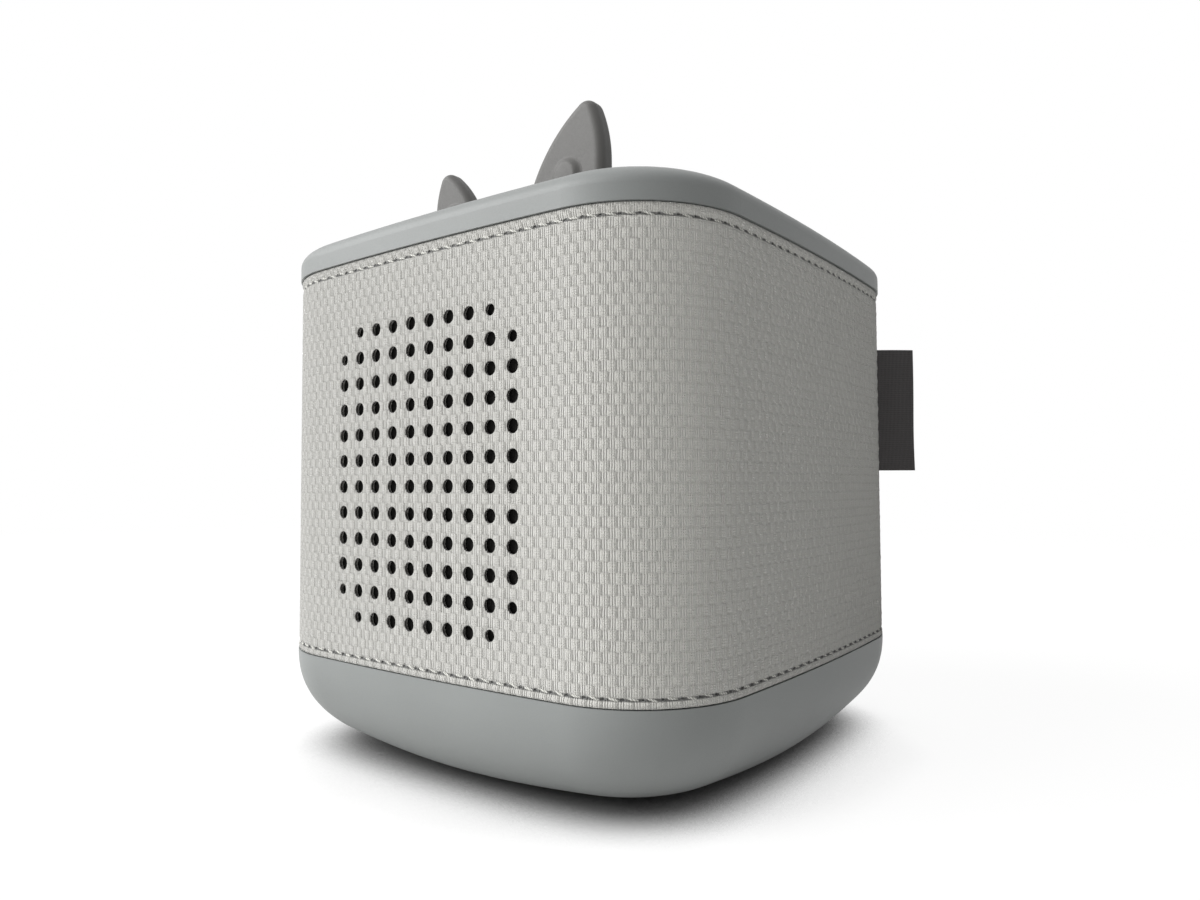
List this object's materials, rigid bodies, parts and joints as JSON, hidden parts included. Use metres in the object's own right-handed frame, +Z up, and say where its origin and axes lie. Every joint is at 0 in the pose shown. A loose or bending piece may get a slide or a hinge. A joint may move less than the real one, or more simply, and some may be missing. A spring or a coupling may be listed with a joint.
{
  "type": "audio story player",
  "caption": "Soft cube-shaped audio player for children with a perforated fabric wrap, a grey cap and base, and two ear-shaped volume keys that press in.",
  "frame": {"origin": "on the floor under the upright axis of the body, at the plane that the base rests on", "axes": "+Z up, -Y the perforated front with the speaker, +Y the back with the headphone socket, +X the side with the volume-up ear and the label"},
  "size_m": [0.1256, 0.1214, 0.1445],
  "materials": {
    "soft_cap": "satin soft-touch",
    "base_plastic": "fine satin",
    "woven_fabric": "basket weave",
    "ear_rubber": "satin soft-touch",
    "black_label": "woven satin",
    "black_plastic": "fine matt",
    "housing_plastic": "moulded",
    "foam": "open-cell foam",
    "steel": "zinc plated",
    "ferrite": "sintered",
    "gold_contact": "plated",
    "copper_coil": "enamelled wire",
    "board_green": "solder resist",
    "paper_cone": "pressed paper",
    "surround_rubber": "matt",
    "cell_sleeve": "shrink sleeve",
    "clear_pipe": "clear moulded",
    "magnet_nickel": "nickel plated",
    "lead_sleeve": "wire sleeve",
    "ivory_plastic": "moulded"
  },
  "bodies": {
    "player": {"base_screws": "steel", "base_shell": "base_plastic", "battery_cells": "cell_sleeve", "battery_cradle": "black_plastic", "battery_door": "base_plastic", "battery_leads": "lead_sleeve", "battery_terminals": "steel", "big_ear_board": "board_green", "big_ear_core": "housing_plastic", "big_ear_cover": "ear_rubber", "big_ear_lead": "lead_sleeve", "big_ear_switch": "black_plastic", "board_chips": "black_plastic", "board_connectors": "ivory_plastic", "board_screws": "steel", "cap_screws": "steel", "card_socket": "black_plastic", "charge_contacts": "gold_contact", "contact_board": "board_green", "door_screws": "steel", "ear_screws": "steel", "fabric_wrap": "woven_fabric", "figure_magnets": "magnet_nickel", "foam_sleeve": "foam", "headphone_jack": "black_plastic", "inner_housing": "housing_plastic", "jack_bezel": "black_plastic", "light_board": "board_green", "light_lead": "lead_sleeve", "light_pipe": "clear_pipe", "main_board": "board_green", "memory_card": "black_plastic", "reader_board": "board_green", "reader_chip": "black_plastic", "reader_lead": "lead_sleeve", "side_tag": "black_label", "small_ear_board": "board_green", "small_ear_core": "housing_plastic", "small_ear_cover": "ear_rubber", "small_ear_lead": "lead_sleeve", "small_ear_switch": "black_plastic", "speaker_cloth": "foam", "speaker_frame": "steel", "speaker_gasket": "foam", "speaker_leads": "lead_sleeve", "speaker_magnet": "ferrite", "speaker_screws": "steel", "speaker_surround": "surround_rubber", "speaker_terminal": "board_green", "speaker_top_plate": "steel", "speaker_yoke": "steel", "status_light": "clear_pipe", "top_cap": "soft_cap"},
    "big_ear_press": {"big_ear_key": "ear_rubber", "big_ear_plunger": "steel"},
    "small_ear_press": {"small_ear_key": "ear_rubber", "small_ear_plunger": "steel"},
    "speaker_cone_set": {"speaker_cone": "paper_cone", "voice_coil": "copper_coil"}
  },
  "joints": [
    {"name": "volume_up_press", "type": "slide", "parent": "player", "child": "big_ear_press", "axis": [0, 1, 0], "range_m": [0, 0.0005], "stiffness_N_per_m": 1500},
    {"name": "volume_down_press", "type": "slide", "parent": "player", "child": "small_ear_press", "axis": [0, 1, 0], "range_m": [0, 0.0005], "stiffness_N_per_m": 1500},
    {"name": "speaker_cone_travel", "type": "slide", "parent": "player", "child": "speaker_cone_set", "axis": [0, 1, 0], "range_m": [-0.001, 0.001], "stiffness_N_per_m": 900}
  ]
}
